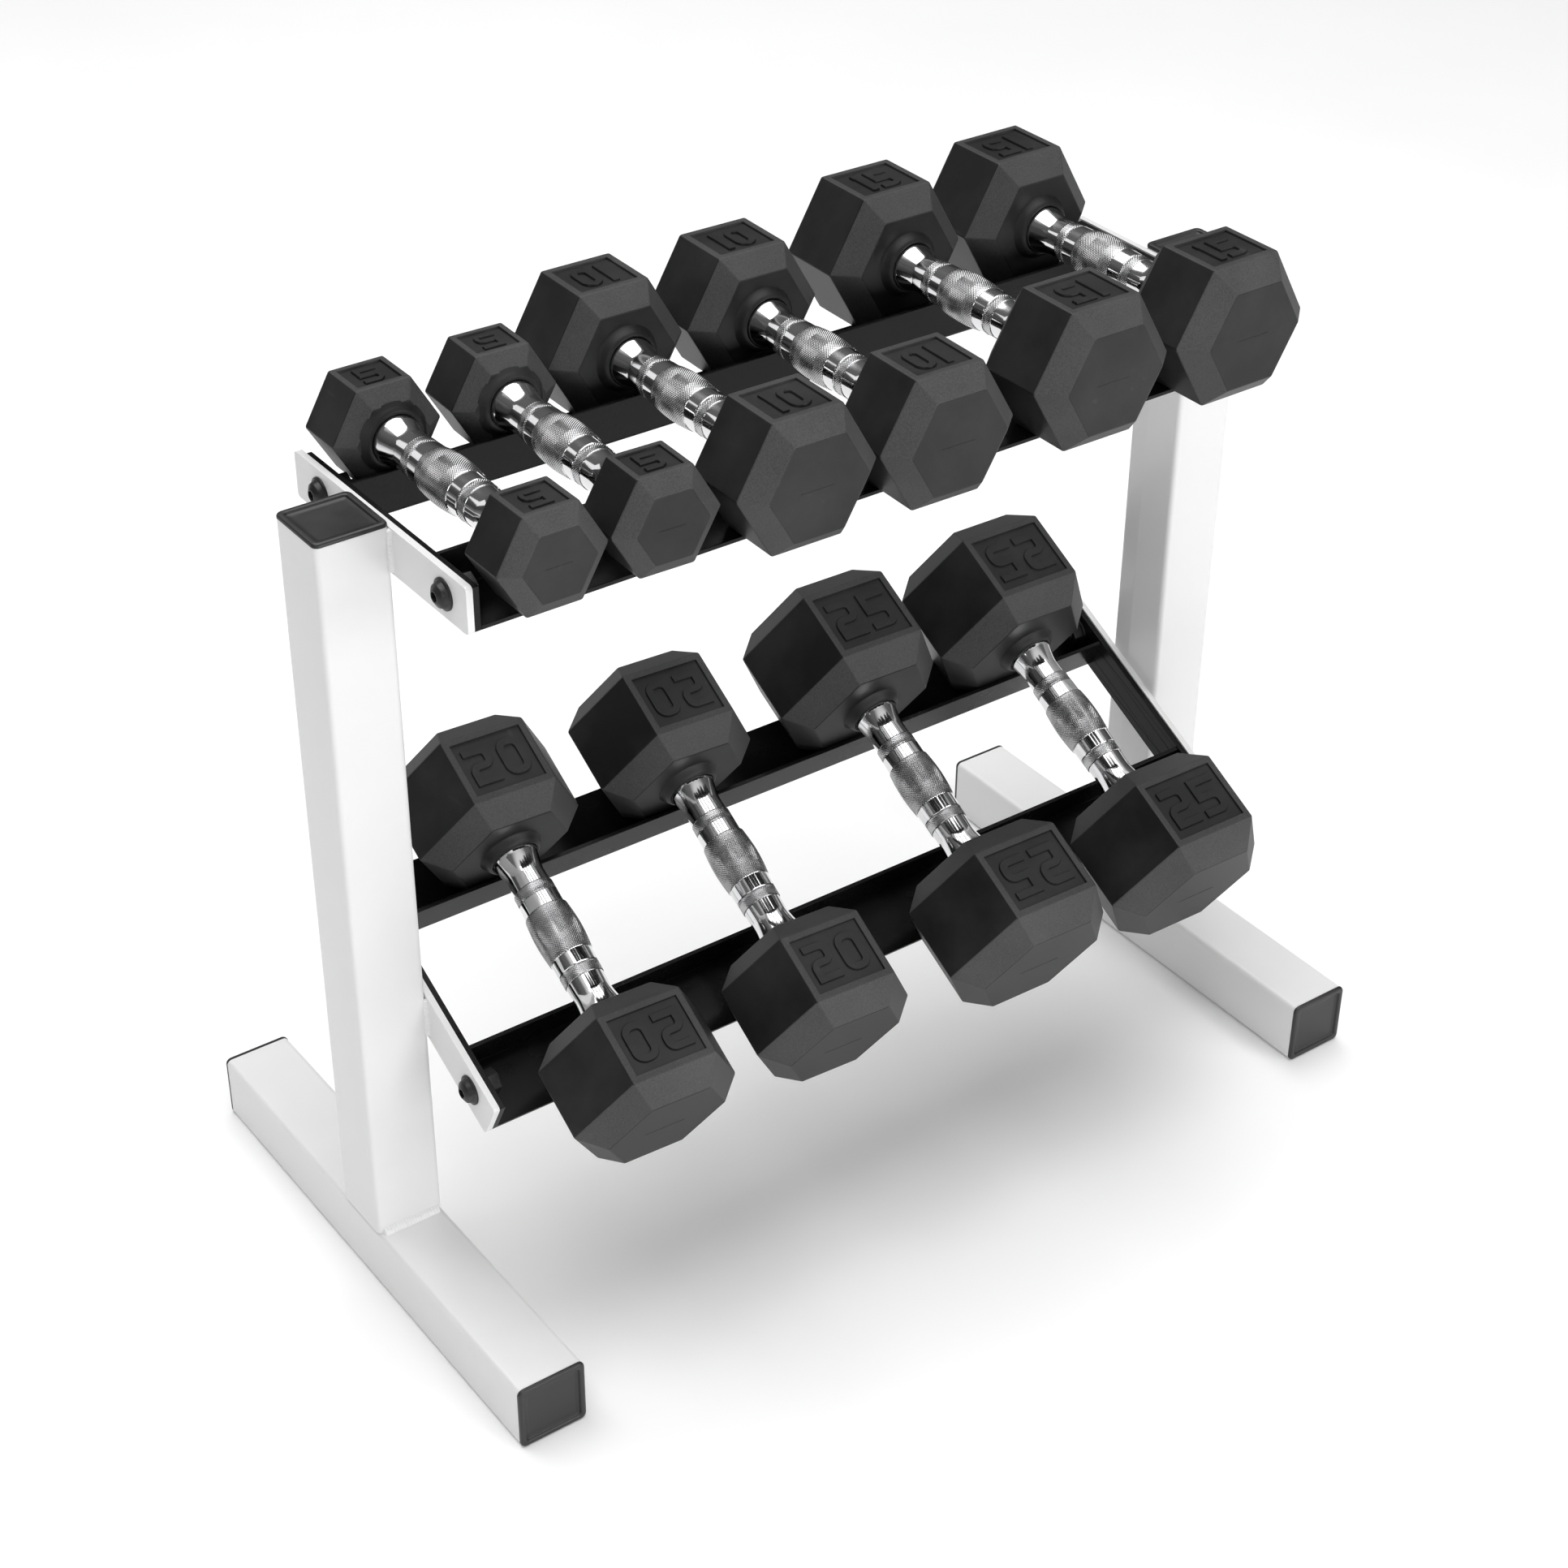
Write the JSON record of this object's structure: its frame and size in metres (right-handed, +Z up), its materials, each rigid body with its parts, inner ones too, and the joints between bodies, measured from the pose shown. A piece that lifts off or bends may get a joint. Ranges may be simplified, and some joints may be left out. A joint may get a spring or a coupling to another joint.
{
  "type": "dumbbell rack",
  "caption": "Two-tier steel dumbbell rack with white uprights, black angle rails and rubber hex dumbbells with chrome handles.",
  "frame": {"origin": "on the floor under the middle of the rack, halfway between the feet and halfway along them", "axes": "+X along the tiers to the right as seen from the front, front faces -Y, +Z up"},
  "size_m": [0.74, 0.416, 0.6575],
  "materials": {
    "frame_white": "satin",
    "tier_black": "gloss",
    "cap_plastic": "matte",
    "fastener_black": "satin",
    "handle_chrome": "gloss",
    "head_rubber": "matte",
    "core_iron": "matte"
  },
  "bodies": {
    "rack": {"left_foot": "frame_white", "left_upright": "frame_white", "left_foot_front_cap": "cap_plastic", "left_foot_rear_cap": "cap_plastic", "left_upright_cap": "cap_plastic", "upper_left_plate": "frame_white", "upper_left_bar": "tier_black", "lower_left_plate": "frame_white", "lower_left_bar": "tier_black", "right_foot": "frame_white", "right_upright": "frame_white", "right_foot_front_cap": "cap_plastic", "right_foot_rear_cap": "cap_plastic", "right_upright_cap": "cap_plastic", "upper_right_plate": "frame_white", "upper_right_bar": "tier_black", "lower_right_plate": "frame_white", "lower_right_bar": "tier_black", "upper_front_rail": "tier_black", "upper_rear_rail": "tier_black", "lower_front_rail": "tier_black", "lower_rear_rail": "tier_black", "bolts": "fastener_black", "washers": "fastener_black", "nuts": "fastener_black", "upright_welds": "frame_white", "plate_welds": "frame_white"},
    "dumbbell_5lb_left": {"dumbbell_5lb_left_handle": "handle_chrome", "dumbbell_5lb_left_heads": "head_rubber", "dumbbell_5lb_left_cores": "core_iron"},
    "dumbbell_5lb_right": {"dumbbell_5lb_right_handle": "handle_chrome", "dumbbell_5lb_right_heads": "head_rubber", "dumbbell_5lb_right_cores": "core_iron"},
    "dumbbell_10lb_left": {"dumbbell_10lb_left_handle": "handle_chrome", "dumbbell_10lb_left_heads": "head_rubber", "dumbbell_10lb_left_cores": "core_iron"},
    "dumbbell_10lb_right": {"dumbbell_10lb_right_handle": "handle_chrome", "dumbbell_10lb_right_heads": "head_rubber", "dumbbell_10lb_right_cores": "core_iron"},
    "dumbbell_15lb_left": {"dumbbell_15lb_left_handle": "handle_chrome", "dumbbell_15lb_left_heads": "head_rubber", "dumbbell_15lb_left_cores": "core_iron"},
    "dumbbell_15lb_right": {"dumbbell_15lb_right_handle": "handle_chrome", "dumbbell_15lb_right_heads": "head_rubber", "dumbbell_15lb_right_cores": "core_iron"},
    "dumbbell_20lb_left": {"dumbbell_20lb_left_handle": "handle_chrome", "dumbbell_20lb_left_heads": "head_rubber", "dumbbell_20lb_left_cores": "core_iron"},
    "dumbbell_20lb_right": {"dumbbell_20lb_right_handle": "handle_chrome", "dumbbell_20lb_right_heads": "head_rubber", "dumbbell_20lb_right_cores": "core_iron"},
    "dumbbell_25lb_left": {"dumbbell_25lb_left_handle": "handle_chrome", "dumbbell_25lb_left_heads": "head_rubber", "dumbbell_25lb_left_cores": "core_iron"},
    "dumbbell_25lb_right": {"dumbbell_25lb_right_handle": "handle_chrome", "dumbbell_25lb_right_heads": "head_rubber", "dumbbell_25lb_right_cores": "core_iron"}
  },
  "joints": [
    {"name": "lift_5lb_left", "type": "slide", "parent": "rack", "child": "dumbbell_5lb_left", "axis": [0, 0, 1], "range_m": [0, 0.15]},
    {"name": "lift_5lb_right", "type": "slide", "parent": "rack", "child": "dumbbell_5lb_right", "axis": [0, 0, 1], "range_m": [0, 0.15]},
    {"name": "lift_10lb_left", "type": "slide", "parent": "rack", "child": "dumbbell_10lb_left", "axis": [0, 0, 1], "range_m": [0, 0.15]},
    {"name": "lift_10lb_right", "type": "slide", "parent": "rack", "child": "dumbbell_10lb_right", "axis": [0, 0, 1], "range_m": [0, 0.15]},
    {"name": "lift_15lb_left", "type": "slide", "parent": "rack", "child": "dumbbell_15lb_left", "axis": [0, 0, 1], "range_m": [0, 0.15]},
    {"name": "lift_15lb_right", "type": "slide", "parent": "rack", "child": "dumbbell_15lb_right", "axis": [0, 0, 1], "range_m": [0, 0.15]},
    {"name": "lift_20lb_left", "type": "slide", "parent": "rack", "child": "dumbbell_20lb_left", "axis": [0, -0.4478, 0.8942], "range_m": [0, 0.15]},
    {"name": "lift_20lb_right", "type": "slide", "parent": "rack", "child": "dumbbell_20lb_right", "axis": [0, -0.4478, 0.8942], "range_m": [0, 0.15]},
    {"name": "lift_25lb_left", "type": "slide", "parent": "rack", "child": "dumbbell_25lb_left", "axis": [0, -0.4478, 0.8942], "range_m": [0, 0.15]},
    {"name": "lift_25lb_right", "type": "slide", "parent": "rack", "child": "dumbbell_25lb_right", "axis": [0, -0.4478, 0.8942], "range_m": [0, 0.15]}
  ]
}
